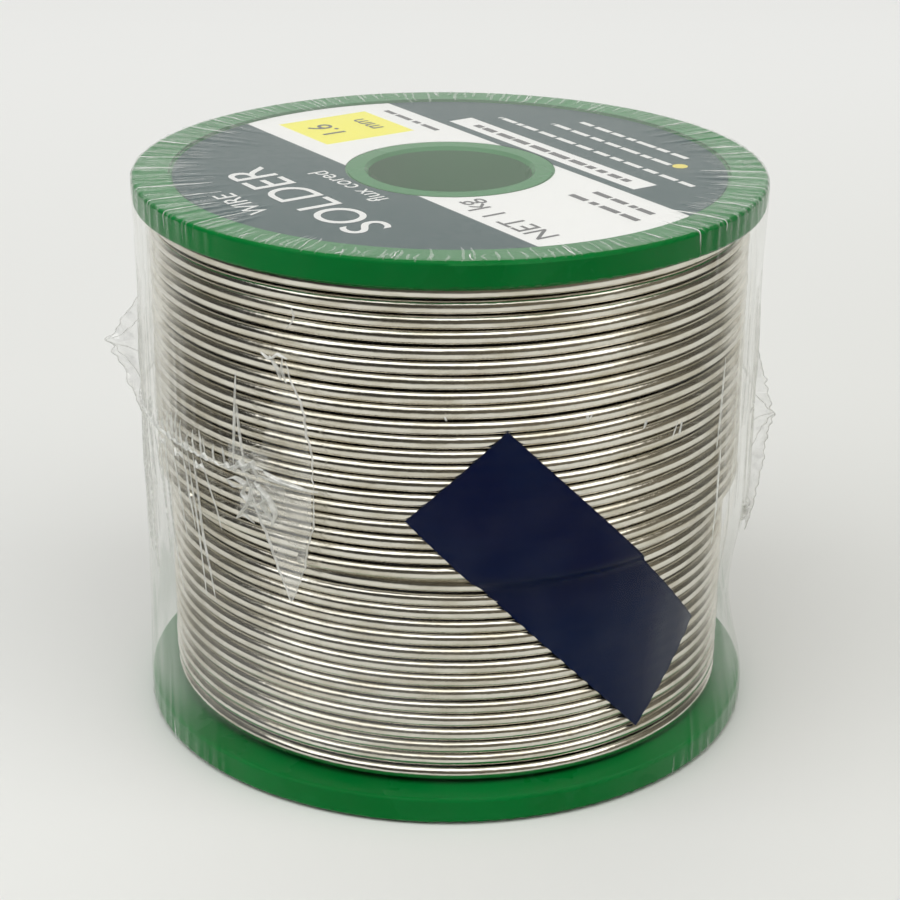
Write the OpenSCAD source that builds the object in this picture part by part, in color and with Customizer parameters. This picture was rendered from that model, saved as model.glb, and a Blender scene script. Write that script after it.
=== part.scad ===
// One-kilogram spool of solder wire, as it is sold: a plastic spool, sixteen
// layers of wire, a strip of tape holding the free end, a printed disc on the
// top flange, and a clear shrink film closed by a trim seal round its middle.
// Millimetres. The origin is the centre of the wrapped spool's base, +Z is the
// spool's axis, and the taped side faces -Y.

/* [Spool] */
// Diameter of both flanges
flange_d = 72; // [70:0.5:76]
// Height over both flanges
spool_h = 64.6; // [62:0.1:70]
// Thickness of a flange at its rim
flange_t = 3; // [2.4:0.1:3.2]
// Radius of the rounded edges of a flange
edge_r = 0.4; // [0.2:0.1:0.8]
// Diameter of the hole through the hub, where a spindle goes
hub_hole_d = 18.7; // [17:0.1:20]
// Outer diameter of the hub tube
tube_d = 23.4; // [22.6:0.1:23.6]
// Chamfer at both mouths of the hub hole
mouth_chamfer = 0.4; // [0.2:0.1:0.8]
// Depth of the shallow recess in the outer face of a flange
recess_depth = 0.35; // [0.2:0.05:0.6]
// Diameter of that recess
recess_d = 63.8; // [63.4:0.1:66]
// How far the snap bead stands out of the hub tube
bead_h = 0.2; // [0.1:0.05:0.3]

/* [Wire] */
// Diameter of the solder wire
wire_d = 1.6; // [1.5:0.01:1.62]
// Distance between neighbouring turns of one layer
turn_pitch = 1.64; // [1.64:0.01:1.66]
// Turns in a full layer
turn_count = 35; // [30:1:35]
// Radial distance between neighbouring layers
layer_step = 1.4; // [1.39:0.01:1.41]
// Turns in the sixteenth layer, which ends part of the way down
last_layer_turns = 19; // [10:1:22]
// Diameter of the flux core, three per cent of the wire's mass
flux_d = 0.66; // [0.5:0.01:0.8]
// Direction of the wire's cut end, measured round the axis from -Y towards +X
tail_angle = -28; // [-60:1:0]
// How much of a turn the free end makes before it joins its layer
tail_sweep = 330; // [200:1:340]

/* [Tape] */
// Length of the strip of tape
tape_l = 40.5; // [25:0.5:45]
// Width of the strip of tape
tape_w = 14.5; // [10:0.5:19]
// Thickness of the tape
tape_t = 0.15; // [0.1:0.01:0.2]
// Slope of the strip's long side, downwards to the right
tape_slope = 46; // [30:1:60]
// Direction of the strip's middle, measured like tail_angle
tape_angle = 25.5; // [10:0.5:40]
// Height of the strip's middle above the base
tape_z = 26.2; // [24:0.1:30]

/* [Label] */
// Diameter of the printed disc
label_d = 63; // [55:0.5:63.2]
// Thickness of the printed disc
label_t = 0.1; // [0.08:0.01:0.2]

/* [Film] */
// Wall of the film as modelled; the real film is a fifth of it
film_t = 0.12; // [0.1:0.01:0.2]
// Height of the trim seal above the base
seal_z = 38.5; // [30:0.5:45]
// How far the trim seal stands out
seal_w = 0.9; // [0.5:0.1:2]
// How far the left-hand corner of the film stands out
left_ear_w = 4.1; // [2:0.1:6]
// How far the right-hand corner of the film stands out
right_ear_w = 2.6; // [1:0.1:4]

/* [Hidden] */

$fn = 144;
fn_wire = 32;
buried_sides = 8;                      // the turns of a buried layer are drawn eight-sided

last_layer = 16;
fit_gap = 0.02;                        // radial clearance of a pressed or wound fit
film_gap = 0.1;                        // film to flange
cut = 1;                               // how far a cutting tool runs past a face

flange_r = flange_d / 2;
tube_r = tube_d / 2;
base_z = film_t + film_gap;            // underside of the bottom flange
top_z = base_z + spool_h;              // upper face of the top flange
tube_inset = recess_depth - label_t;   // a tube end lies level with the printed face
well_low_z = base_z + flange_t;        // inner face of the bottom flange
well_h = spool_h - 2 * flange_t;       // room for the wire between the flanges

// A full layer, with its half-pitch shift, sits midway between the flanges.
stack_h = (turn_count - 0.5) * turn_pitch + wire_d;
first_turn_z = well_low_z + (well_h - stack_h) / 2 + wire_d / 2;
web_t = 0.3;                           // thin web that keeps a layer in one piece

function layer_r(layer) = tube_r + fit_gap + wire_d / 2 + (layer - 1) * layer_step;
function turn_z(layer, turn) = first_turn_z + (turn - 1 + (layer % 2 == 0 ? 0.5 : 0)) * turn_pitch;

tail_turn = turn_count - last_layer_turns;
tail_z = turn_z(last_layer, tail_turn);
tape_high_r = layer_r(last_layer) + wire_d / 2 + 0.04;
tape_low_r = layer_r(last_layer - 1) + wire_d / 2 + 0.04;

film_in_r = flange_r + film_gap;
film_out_r = film_in_r + film_t;
film_top_z = top_z + film_gap + film_t;
half_gap = 0.03;                       // each film half stops this far short of the seal

// Angle of a direction measured from -Y towards +X, in OpenSCAD's own sense.
function around(angle) = angle - 90;

// Spool

module core_tube() {
    color("seagreen")
    difference() {
        union() {
            translate([0, 0, base_z + tube_inset])
                cylinder(h = spool_h - 2 * tube_inset, r = tube_r);
            for (z = [base_z + flange_t / 2, top_z - flange_t / 2])
                snap_ring(z, 0);
        }
        translate([0, 0, base_z - cut])
            cylinder(h = spool_h + 2 * cut, d = hub_hole_d);
        for (side = [0, 1])
            translate([0, 0, base_z + spool_h / 2])
                mirror([0, 0, side])
                    mouth_cone();
    }
}

// Half-round bead on the tube, or the groove for it when it is made larger.
module snap_ring(z, clearance) {
    bead_r = 1.5 * bead_h;
    translate([0, 0, z])
        rotate_extrude()
            translate([tube_r + bead_h - bead_r, 0])
                circle(r = bead_r + clearance, $fn = fn_wire);
}

// Tool that chamfers the upper mouth, measured from mid-height.
module mouth_cone() {
    mouth_z = spool_h / 2 - tube_inset;
    hole_r = hub_hole_d / 2;
    rotate_extrude()
        polygon([
            [0, mouth_z - mouth_chamfer],
            [hole_r, mouth_z - mouth_chamfer],
            [hole_r + mouth_chamfer + cut, mouth_z + cut],
            [0, mouth_z + cut]
        ]);
}

// A flange with its outer face up: rounded rim, shallow recess, hole for the tube.
module flange() {
    difference() {
        rotate_extrude()
            flange_section();
        translate([0, 0, -cut])
            cylinder(h = flange_t + 2 * cut, r = tube_r + fit_gap);
        snap_ring(flange_t / 2, fit_gap);
        translate([0, 0, flange_t - recess_depth])
            cylinder(h = recess_depth + cut, d = recess_d);
    }
}

module flange_section() {
    square([flange_r - edge_r, flange_t]);
    translate([0, edge_r])
        square([flange_r, flange_t - 2 * edge_r]);
    for (z = [edge_r, flange_t - edge_r])
        translate([flange_r - edge_r, z])
            circle(r = edge_r, $fn = fn_wire);
}

module top_flange() {
    color("green")
    translate([0, 0, top_z - flange_t])
        flange();
}

module bottom_flange() {
    color("green")
    translate([0, 0, base_z + flange_t])
        mirror([0, 0, 1])
            flange();
}

// Wire

// One wound layer: its turns side by side, joined by a thin web.
module turns(layer, first, last, sides) {
    color("silver")
    rotate_extrude() {
        for (turn = [first:last])
            translate([layer_r(layer), turn_z(layer, turn)])
                circle(d = wire_d, $fn = sides);
        translate([layer_r(layer) - web_t / 2, turn_z(layer, first)])
            square([web_t, turn_z(layer, last) - turn_z(layer, first)]);
    }
}

module buried_layer(layer) {
    turns(layer, 1, turn_count, buried_sides);
}

// The fifteenth layer shows below the free end.
module fifteenth_layer() {
    turns(last_layer - 1, 1, turn_count, fn_wire);
}

// The sixteenth layer starts at the top flange and stops above the free end.
module sixteenth_layer() {
    turns(last_layer, tail_turn + 1, turn_count, fn_wire);
}

module along_tail() {
    translate([0, 0, tail_z])
        rotate([0, 0, around(tail_angle)])
            rotate_extrude(angle = tail_sweep)
                translate([layer_r(last_layer), 0])
                    children();
}

module wire_tail() {
    color("silver")
    along_tail()
        difference() {
            circle(d = wire_d, $fn = fn_wire);
            circle(d = flux_d, $fn = fn_wire);
        }
}

module flux_core() {
    color("goldenrod")
    along_tail()
        circle(r = flux_d / 2 - fit_gap / 2, $fn = fn_wire);
}

// Tape and label

// Ring of tape that follows the sixteenth layer, steps down below the free
// end, and follows the fifteenth layer from there.
module tape_ring() {
    step_high_z = tail_z - 0.3 * wire_d;
    step_low_z = tail_z - 1.6 * wire_d;
    low_z = tape_z - tape_l;
    high_z = tape_z + tape_l;
    rotate_extrude()
        polygon([
            [tape_low_r, low_z],
            [tape_low_r + tape_t, low_z],
            [tape_low_r + tape_t, step_low_z],
            [tape_high_r + tape_t, step_high_z],
            [tape_high_r + tape_t, high_z],
            [tape_high_r, high_z],
            [tape_high_r, step_high_z],
            [tape_low_r, step_low_z]
        ]);
}

module tape() {
    color("midnightblue")
    intersection() {
        tape_ring();
        rotate([0, 0, tape_angle])
            translate([0, -flange_r / 2, tape_z])
                rotate([0, tape_slope, 0])
                    cube([tape_l, flange_r, tape_w], center = true);
    }
}

module top_label() {
    color("slategray")
    translate([0, 0, top_z - recess_depth])
        difference() {
            cylinder(h = label_t, d = label_d);
            translate([0, 0, -cut])
                cylinder(h = label_t + 2 * cut, r = tube_r + fit_gap);
        }
}

// Film

// Section of one film half, from its cap at cap_z to its rim at the seal.
module film_section(cap_z, inner_cap_z, rim_z) {
    polygon([
        [0, cap_z],
        [film_out_r, cap_z],
        [film_out_r, rim_z],
        [film_in_r, rim_z],
        [film_in_r, inner_cap_z],
        [0, inner_cap_z]
    ]);
}

// The trim seal's fin: it runs from the front left round the back to the right.
module seal_fin(z) {
    fin_from = 75;
    fin_sweep = 250;
    translate([0, 0, z])
        rotate([0, 0, around(fin_from)])
            rotate_extrude(angle = fin_sweep)
                translate([film_in_r, 0])
                    square([film_t + seal_w, film_t]);
}

// A corner of the film that stands out as a thin fin; outline in (radius, height).
module ear(angle, outline) {
    rotate([90, 0, around(angle)])
        linear_extrude(height = film_t, center = true)
            polygon(outline);
}

module film_upper() {
    root_r = film_in_r + film_t / 2;
    low_z = seal_z + half_gap;
    color("lightcyan", 0.35) {
        rotate_extrude()
            film_section(film_top_z, film_top_z - film_t, low_z);
        seal_fin(low_z);
        ear(-86, [
            [root_r, low_z],
            [root_r + 0.6 * left_ear_w, low_z],
            [root_r + left_ear_w, seal_z + 8],
            [root_r, seal_z + 14]
        ]);
        ear(86, [
            [root_r, low_z],
            [root_r + right_ear_w, low_z],
            [root_r, seal_z + 3]
        ]);
    }
}

module film_lower() {
    root_r = film_in_r + film_t / 2;
    high_z = seal_z - half_gap;
    color("lightcyan", 0.35) {
        rotate_extrude()
            film_section(0, film_t, high_z);
        seal_fin(high_z - film_t);
        ear(-86, [
            [root_r, high_z],
            [root_r + 0.6 * left_ear_w, high_z],
            [root_r, seal_z - 5]
        ]);
        ear(86, [
            [root_r, high_z],
            [root_r + right_ear_w, high_z],
            [root_r + 0.6 * right_ear_w, seal_z - 12],
            [root_r, seal_z - 26]
        ]);
    }
}

core_tube();
top_flange();
bottom_flange();
buried_layer(1);  // wire_layer_01
buried_layer(2);  // wire_layer_02
buried_layer(3);  // wire_layer_03
buried_layer(4);  // wire_layer_04
buried_layer(5);  // wire_layer_05
buried_layer(6);  // wire_layer_06
buried_layer(7);  // wire_layer_07
buried_layer(8);  // wire_layer_08
buried_layer(9);  // wire_layer_09
buried_layer(10);  // wire_layer_10
buried_layer(11);  // wire_layer_11
buried_layer(12);  // wire_layer_12
buried_layer(13);  // wire_layer_13
buried_layer(14);  // wire_layer_14
fifteenth_layer();  // wire_layer_15
sixteenth_layer();  // wire_layer_16
wire_tail();
flux_core();
tape();
top_label();
film_upper();
film_lower();
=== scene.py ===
"""The looks of a wrapped, one-kilogram spool of solder wire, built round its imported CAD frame.

Lengths are in millimetres until a mesh is made, which is where they turn into metres. Materials and
the stage are in metres throughout. A direction round the spool is an angle from -Y, the taped side,
towards +X.
"""

import math

import bpy
import numpy as np
from mathutils import Matrix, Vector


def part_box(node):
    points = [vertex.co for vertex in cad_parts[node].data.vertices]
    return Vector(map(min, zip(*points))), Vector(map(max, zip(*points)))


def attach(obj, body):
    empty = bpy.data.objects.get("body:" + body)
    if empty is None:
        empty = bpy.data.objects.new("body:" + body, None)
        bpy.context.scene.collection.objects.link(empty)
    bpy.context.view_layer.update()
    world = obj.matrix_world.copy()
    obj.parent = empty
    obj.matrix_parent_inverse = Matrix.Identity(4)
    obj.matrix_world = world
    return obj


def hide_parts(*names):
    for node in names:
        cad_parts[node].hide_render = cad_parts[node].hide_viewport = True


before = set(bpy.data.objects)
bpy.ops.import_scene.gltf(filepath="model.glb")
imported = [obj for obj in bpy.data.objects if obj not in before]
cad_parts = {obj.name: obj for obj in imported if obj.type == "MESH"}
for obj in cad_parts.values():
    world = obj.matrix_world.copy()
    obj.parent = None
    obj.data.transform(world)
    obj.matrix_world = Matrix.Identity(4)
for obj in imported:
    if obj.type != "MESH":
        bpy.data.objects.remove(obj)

MM = 0.001
TURN = 2 * math.pi
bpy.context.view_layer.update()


# Sizes read from the frame

def low(node):
    return np.array(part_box(node)[0]) / MM


def high(node):
    return np.array(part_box(node)[1]) / MM


FLANGE_R = high("top_flange")[0]
TOP_Z = high("top_flange")[2]
BASE_Z = low("bottom_flange")[2]
WELL_LOW = high("bottom_flange")[2]
WELL_HIGH = low("top_flange")[2]
HUB_R = high("core_tube")[0]
LABEL_R = high("top_label")[0]
LABEL_Z = high("top_label")[2]
WIRE_R = (high("wire_tail")[2] - low("wire_tail")[2]) / 2
TAIL_Z = (high("wire_tail")[2] + low("wire_tail")[2]) / 2
UPPER_R = high("wire_layer_16")[0] - WIRE_R
LOWER_R = high("wire_layer_15")[0] - WIRE_R
SEAL_Z = high("film_lower")[2]
TAPE_Z = (high("tape")[2] + low("tape")[2]) / 2

# Sizes the frame doesn't hold: the turns' spacing, the wire's end, the tape, the flux and the film's corner
PITCH = 1.64
TAIL_ANGLE = math.radians(-28)
TAPE_ANGLE = math.radians(25.5)
TAPE_SLOPE = math.radians(46)
TAPE_L = 40.5
TAPE_W = 14.5
TAPE_T = 0.07
FLUX_R = 0.33
RIM_EDGE_R = 0.45


# Mesh helpers

def around(radius, angle, z):
    """Points at a radius, an angle round the axis and a height, as an array of rows."""
    radius, angle, z = np.broadcast_arrays(radius, angle, z)
    return np.stack([radius * np.sin(angle), -radius * np.cos(angle), z], -1).reshape(-1, 3)


def grid_faces(rows, columns, closed=False, start=0):
    """Quads over a grid of points stored row by row. A closed grid joins its last column to its first."""
    row = np.arange(rows - 1)[:, None]
    column = np.arange(columns if closed else columns - 1)[None, :]
    after = (column + 1) % columns
    corners = [row * columns + column, (row + 1) * columns + column,
               (row + 1) * columns + after, row * columns + after]
    return (np.stack(corners, -1).reshape(-1, 4) + start).tolist()


def tube_faces(rings, sides):
    """Faces of a closed tube over rings of points, with a cap at both ends."""
    last = sides * (rings - 1)
    caps = [list(range(sides)), list(range(last + sides - 1, last - 1, -1))]
    return grid_faces(rings, sides, closed=True) + caps


def add_piece(name, mesh, material, body, node=None):
    """Puts a mesh in the scene, riding on a body and with a finish's slot. It may replace a CAD node."""
    mesh.materials.clear()
    mesh.materials.append(material)
    piece = bpy.data.objects.new(name, mesh)
    bpy.context.scene.collection.objects.link(piece)
    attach(piece, body)
    if node:
        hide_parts(node)
    return piece


def add_mesh(name, points, faces, material, body, node=None, smooth=True):
    """A piece made from points in millimetres and faces."""
    mesh = bpy.data.meshes.new(name)
    mesh.from_pydata((np.asarray(points, float) * MM).tolist(), [], faces)
    mesh.polygons.foreach_set("use_smooth", [smooth] * len(mesh.polygons))
    mesh.update()
    return add_piece(name, mesh, material, body, node)


def smoothstep(x):
    x = np.clip(x, 0, 1)
    return x * x * (3 - 2 * x)


class Waves:
    """Smooth noise along a line: a sum of sines with seeded frequencies and phases, seldom over 1."""

    def __init__(self, seed, slowest, fastest, count=7):
        rng = np.random.default_rng(seed)
        self.rates = rng.uniform(slowest, fastest, count)
        self.phases = rng.uniform(0, TURN, count)

    def __call__(self, x):
        angles = np.multiply.outer(x, self.rates) * TURN + self.phases
        return np.sin(angles).sum(-1) / len(self.rates) ** 0.5 / 1.6


# Material graphs

class Graph:
    """A node tree, with short calls for the nodes these materials use."""

    def __init__(self, owner):
        owner.use_nodes = True
        self.tree = owner.node_tree
        self.tree.nodes.clear()

    def node(self, kind, **settings):
        made = self.tree.nodes.new(kind)
        for key, value in settings.items():
            setattr(made, key, value)
        return made

    def feed(self, socket, value):
        if isinstance(value, bpy.types.NodeSocket):
            self.tree.links.new(value, socket)
        elif value is not None:
            socket.default_value = value

    def math(self, operation, a, b=None, c=None, clamp=False):
        made = self.node("ShaderNodeMath", operation=operation, use_clamp=clamp)
        for socket, value in zip(made.inputs, (a, b, c)):
            self.feed(socket, value)
        return made.outputs[0]

    def times(self, a, b):
        return self.math("MULTIPLY", a, b)

    def distance(self, x, y):
        return self.math("SQRT", self.math("ADD", self.times(x, x), self.times(y, y)))

    def axes(self, vector):
        made = self.node("ShaderNodeSeparateXYZ")
        self.feed(made.inputs[0], vector)
        return made.outputs

    def join(self, x, y, z):
        made = self.node("ShaderNodeCombineXYZ")
        for socket, value in zip(made.inputs, (x, y, z)):
            self.feed(socket, value)
        return made.outputs[0]

    def noise(self, vector, scale, detail=3.0, roughness=0.55, distortion=0.0):
        made = self.node("ShaderNodeTexNoise")
        self.feed(made.inputs["Vector"], vector)
        self.feed(made.inputs["Scale"], scale)
        self.feed(made.inputs["Detail"], detail)
        self.feed(made.inputs["Roughness"], roughness)
        self.feed(made.inputs["Distortion"], distortion)
        return made.outputs[0]

    def ramp(self, value, low_value, high_value, low_out=0.0, high_out=1.0):
        made = self.node("ShaderNodeMapRange", interpolation_type="SMOOTHSTEP")
        for socket, number in zip(made.inputs, (value, low_value, high_value, low_out, high_out)):
            self.feed(socket, number)
        return made.outputs[0]

    def mix(self, share, a, b):
        made = self.node("ShaderNodeMix", data_type="RGBA")
        self.feed(made.inputs[0], share)
        self.feed(made.inputs[6], a)
        self.feed(made.inputs[7], b)
        return made.outputs[2]

    def bump(self, height, distance, strength=1.0):
        made = self.node("ShaderNodeBump")
        self.feed(made.inputs["Strength"], strength)
        self.feed(made.inputs["Distance"], distance)
        self.feed(made.inputs["Height"], height)
        return made.outputs[0]


class Surface(Graph):
    """A material with one Principled shader, mapped in the object's own coordinates."""

    def __init__(self, name):
        self.material = bpy.data.materials.new(name)
        super().__init__(self.material)
        self.shader = self.node("ShaderNodeBsdfPrincipled")
        output = self.node("ShaderNodeOutputMaterial")
        self.tree.links.new(self.shader.outputs[0], output.inputs[0])
        self.place = self.node("ShaderNodeTexCoord").outputs["Object"]

    def set(self, **inputs):
        """Feeds the Principled shader's inputs; an underscore in a name stands for a space."""
        for key, value in inputs.items():
            self.feed(self.shader.inputs[key.replace("_", " ")], value)

    def cylinder_place(self, along, across):
        """Coordinates that run round the axis and up it, scaled apart, so noise comes out in long streaks."""
        x, y, z = self.axes(self.place)
        angle = self.math("ARCTAN2", y, x)
        radius = self.distance(x, y)
        return self.join(self.times(angle, along),
                         self.times(z, across),
                         self.times(radius, across))


def rgb(red, green, blue):
    return (red, green, blue, 1.0)


def solder_material():
    """Drawn solder: bright, a little warm and faintly streaked along its length, with painted shade in the
    grooves between turns.
    """
    g = Surface("bright_solder")
    streaks = g.noise(g.cylinder_place(5.0, 7000.0), 1.0, detail=4.0)
    patches = g.noise(g.cylinder_place(5.0, 500.0), 1.0, detail=4.0)
    dulled = g.ramp(patches, 0.40, 0.68)
    metal = g.mix(dulled, rgb(0.78, 0.75, 0.665), rgb(0.62, 0.58, 0.475))
    # Painted shade: the colour darkens to a deep brown where the wire faces straight up or down, into the
    # grooves between turns.
    _, _, facing_up = g.axes(g.node("ShaderNodeTexCoord").outputs["Normal"])
    above = g.ramp(facing_up, 0.94, 1.0)
    below = g.ramp(g.times(facing_up, -1.0), 0.80, 1.0)
    painted_groove_shade = g.math("MAXIMUM", above, below)
    roughness = g.math("ADD", g.ramp(streaks, 0.3, 0.7, 0.12, 0.20), g.times(dulled, 0.08))
    # The painted shade in the grooves is mixed into the metal's colour here.
    g.set(Base_Color=g.mix(painted_groove_shade, metal, rgb(0.14, 0.12, 0.09)), Metallic=1.0, Roughness=roughness)
    dents = g.noise(g.cylinder_place(16.0, 420.0), 1.0, detail=3.0)
    height = g.math("ADD", g.times(streaks, 0.12), dents)
    g.set(Normal=g.bump(height, 0.00006))
    return g.material


def spool_material():
    """Glossy green plastic, clouded very slightly and finely grained."""
    g = Surface("green_moulding")
    cloud = g.noise(g.place, 60.0, detail=4.0)
    grain = g.noise(g.place, 2600.0, detail=2.0)
    g.set(Base_Color=g.mix(g.ramp(cloud, 0.35, 0.65), rgb(0.0006, 0.158, 0.025), rgb(0.0012, 0.182, 0.032)),
          Roughness=g.ramp(cloud, 0.3, 0.7, 0.24, 0.34),
          Specular_IOR_Level=0.07,
          Subsurface_Weight=0.06,
          Subsurface_Scale=0.0006,
          Subsurface_Radius=(0.4, 1.0, 0.5),
          Normal=g.bump(grain, 0.000012, 0.6))
    return g.material


def flux_material():
    """Amber rosin, as it shows at the wire's cut end."""
    g = Surface("rosin_flux")
    cloud = g.noise(g.place, 4000.0)
    g.set(Base_Color=g.mix(cloud, rgb(0.60, 0.34, 0.09), rgb(0.72, 0.48, 0.20)),
          Roughness=0.45, Normal=g.bump(cloud, 0.00003))
    return g.material


def tape_material():
    """Satin navy tape, a little paler in clouds, with a painted sheen that makes it paler at its lower end,
    where it bends away.
    """
    g = Surface("navy_tape")
    cloud = g.noise(g.place, 110.0, detail=3.0)
    _, _, z = g.axes(g.place)
    # Painted sheen: the tape turns paler towards its lower end, where it bends away over the winding.
    painted_low_sheen = g.ramp(z, 0.028, 0.020, 0.0, 0.75)
    share = g.math("MAXIMUM", g.ramp(cloud, 0.35, 0.7, 0.0, 0.4), painted_low_sheen)
    # The paler navy serves both the tape's clouds and its painted sheen.
    g.set(Base_Color=g.mix(share, rgb(0.0003, 0.0036, 0.034), rgb(0.0030, 0.0110, 0.045)),
          Roughness=g.ramp(cloud, 0.3, 0.7, 0.30, 0.44),
          Specular_IOR_Level=0.10,
          Normal=g.bump(cloud, 0.00005))
    return g.material


FILM_IOR = 1.5


def film_material(name, haze_from, haze_to, grain=180.0, gloss=0.0, paleness=0.96, walls=False):
    """Clear film: it mirrors what two thin plastic faces mirror, scatters a little light where it is hazy,
    and lets the rest through. gloss is the least share that mirrors and doesn't scatter. walls adds the
    haze, painted sheen and gloss that depend on where the spool's side walls are."""
    g = Surface(name)
    fresnel = g.node("ShaderNodeFresnel")
    behind = g.node("ShaderNodeNewGeometry").outputs["Backfacing"]
    ior = g.math("SUBTRACT", FILM_IOR, g.times(behind, FILM_IOR - 1 / FILM_IOR))
    g.feed(fresnel.inputs["IOR"], ior)
    one_face = fresnel.outputs[0]
    both = g.math("DIVIDE", g.times(one_face, 2.0), g.math("ADD", one_face, 1.0))
    sheen = g.math("MAXIMUM", g.math("MULTIPLY_ADD", both, 0.585, -0.050), 0.0)
    cloud = g.noise(g.place, grain, detail=4.0)
    haze = g.ramp(cloud, 0.35, 0.75, haze_from, haze_to)
    if walls:
        # On the walls the haze also carries painted sheen.
        haze = g.math("ADD", haze, wall_haze_and_sheen(g))
        gloss = side_gloss(g)
    alpha = g.math("ADD", sheen, haze, clamp=True)
    mirror = g.math("MAXIMUM", g.math("DIVIDE", sheen, g.math("MAXIMUM", alpha, 0.001)), gloss)
    g.set(Base_Color=rgb(paleness, paleness * 1.01, paleness * 0.98),
          Metallic=mirror,
          Roughness=g.ramp(cloud, 0.3, 0.7, 0.06, 0.14),
          Alpha=alpha)
    return g.material


def side_gloss(g):
    """Where the walls turn edge on, their haze lies in upright folds, which mirror more than they scatter."""
    x, _, _ = g.axes(g.place)
    return g.ramp(g.math("ABSOLUTE", x), 0.0295, 0.0345, 0.0, 0.8)


def wall_haze_and_sheen(g):
    """Haze on the walls where they are gathered at both sides, with painted sheen in upright streaks there
    and low in front. It stops short of both rims."""
    x, y, z = g.axes(g.place)
    left = g.ramp(x, -0.0265, -0.0335, 0.0, 0.22)
    right = g.ramp(x, 0.0290, 0.0345, 0.0, 0.19)
    # Painted sheen: upright whitish streaks at the left and far right, where the film's waves mirror the
    # window.
    painted_sheen_streak = g.ramp(g.noise(g.cylinder_place(11.0, 9.0), 1.0, detail=3.0), 0.50, 0.72, 0.0, 0.04)
    painted_sheen_streak = g.times(painted_sheen_streak, g.math("MAXIMUM", g.ramp(x, -0.016, -0.022), g.ramp(x, 0.030, 0.034)))
    sides = g.math("ADD", g.math("MAXIMUM", left, right), painted_sheen_streak)
    sides = g.times(sides, g.ramp(z, 0.0630, 0.0605))
    sides = g.times(sides, g.ramp(z, 0.0035, 0.0085, 0.25, 1.0))
    # Painted sheen: a whitish veil low in front, left of the middle, where the film mirrors the window.
    painted_front_sheen = g.times(g.ramp(z, 0.034, 0.010), g.ramp(x, 0.006, -0.008))
    painted_front_sheen = g.times(painted_front_sheen, g.ramp(y, -0.012, -0.024, 0.0, 0.10))
    painted_front_sheen = g.times(painted_front_sheen, g.ramp(z, 0.0062, 0.0090))
    return g.math("MAXIMUM", sides, painted_front_sheen)


SOLDER = solder_material()
SPOOL = spool_material()
FLUX = flux_material()
TAPE = tape_material()
FILM = film_material("shrink_film", 0.0, 0.008, walls=True)
# Creased film: its heavy haze is partly the whitening of real creases and partly painted highlight, for the
# window and backdrop its folds mirror.
CREASE = film_material("creased_film", 0.45, 0.95, grain=900.0, gloss=0.10)
SOFT_CREASE = film_material("softly_creased_film", 0.05, 0.20, grain=600.0, gloss=0.25)
DOUBLED = film_material("doubled_film", 0.03, 0.09, grain=420.0)
HAZY = film_material("hazy_film", 0.20, 0.36, grain=420.0)
# Crushed film: its grey base is painted shade, standing in for the darker room its crumpled layers refract
# into view.
CRUSHED = film_material("crushed_film", 0.14, 0.40, grain=500.0, gloss=0.45, paleness=0.80)
THIN_CRUSHED = film_material("thin_crushed_film", 0.10, 0.26, grain=500.0, gloss=0.50)


# The label: its art is drawn in coordinates that run along its pale band and across it

BAND_DIRECTION = math.radians(124.4)
BAND_LOW, BAND_HIGH = -10.75, 9.35


class LabelArt:
    """Masks for printed shapes, in millimetres along and across the band."""

    def __init__(self, graph):
        self.g = graph
        x, y, _ = graph.axes(graph.place)
        c, s = math.cos(BAND_DIRECTION) / MM, math.sin(BAND_DIRECTION) / MM
        self.along = graph.math("ADD", graph.times(x, c), graph.times(y, s))
        self.across = graph.math("SUBTRACT", graph.times(y, c), graph.times(x, s))

    def between(self, value, start, end, soft=0.12):
        g = self.g
        inside = g.ramp(value, start - soft, start + soft)
        past = g.ramp(value, end - soft, end + soft)
        return g.times(inside, g.math("SUBTRACT", 1.0, past))

    def box(self, along_from, along_to, across_from, across_to):
        return self.g.times(self.between(self.along, along_from, along_to),
                           self.between(self.across, across_from, across_to))


def label_material():
    g = Surface("printed_label")
    art = LabelArt(g)
    ink = g.noise(g.place, 900.0, detail=3.0)
    slate = g.mix(ink, rgb(0.008, 0.046, 0.050), rgb(0.014, 0.058, 0.062))
    paper = g.mix(ink, rgb(0.80, 0.80, 0.78), rgb(0.86, 0.86, 0.84))
    yellow = g.mix(ink, rgb(0.86, 0.80, 0.06), rgb(0.90, 0.85, 0.10))
    band = art.between(art.across, BAND_LOW, BAND_HIGH)
    lot_box = art.box(-18.3, 17.9, -15.4, -12.1)
    patch = art.box(16.5, 27.7, -6.0, 6.3)
    colour = g.mix(band, slate, paper)
    colour = g.mix(lot_box, colour, paper)
    colour = g.mix(patch, colour, yellow)
    g.set(Base_Color=colour, Roughness=g.ramp(ink, 0.3, 0.7, 0.30, 0.42), Normal=g.bump(ink, 0.00002),
          Specular_IOR_Level=0.05)
    return g.material


def ink_material(name, colour, worn):
    g = Surface(name)
    wear = g.noise(g.place, 3000.0)
    g.set(Base_Color=g.mix(g.ramp(wear, 0.55, 0.8), colour, worn), Roughness=0.4)
    return g.material


LABEL = label_material()
DARK_INK = ink_material("dark_ink", rgb(0.03, 0.03, 0.035), rgb(0.09, 0.09, 0.09))
PALE_INK = ink_material("pale_ink", rgb(0.80, 0.80, 0.78), rgb(0.62, 0.63, 0.62))
YELLOW_INK = ink_material("yellow_ink", rgb(0.80, 0.66, 0.04), rgb(0.70, 0.58, 0.05))


def paint_cad_nodes():
    """Gives every CAD node a material. The pieces that stand in for some nodes bring their own."""
    for name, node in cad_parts.items():
        material = SOLDER if name.startswith(("wire", "flux")) else SPOOL
        node.data.materials.clear()
        node.data.materials.append(material)


# Wire

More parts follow.
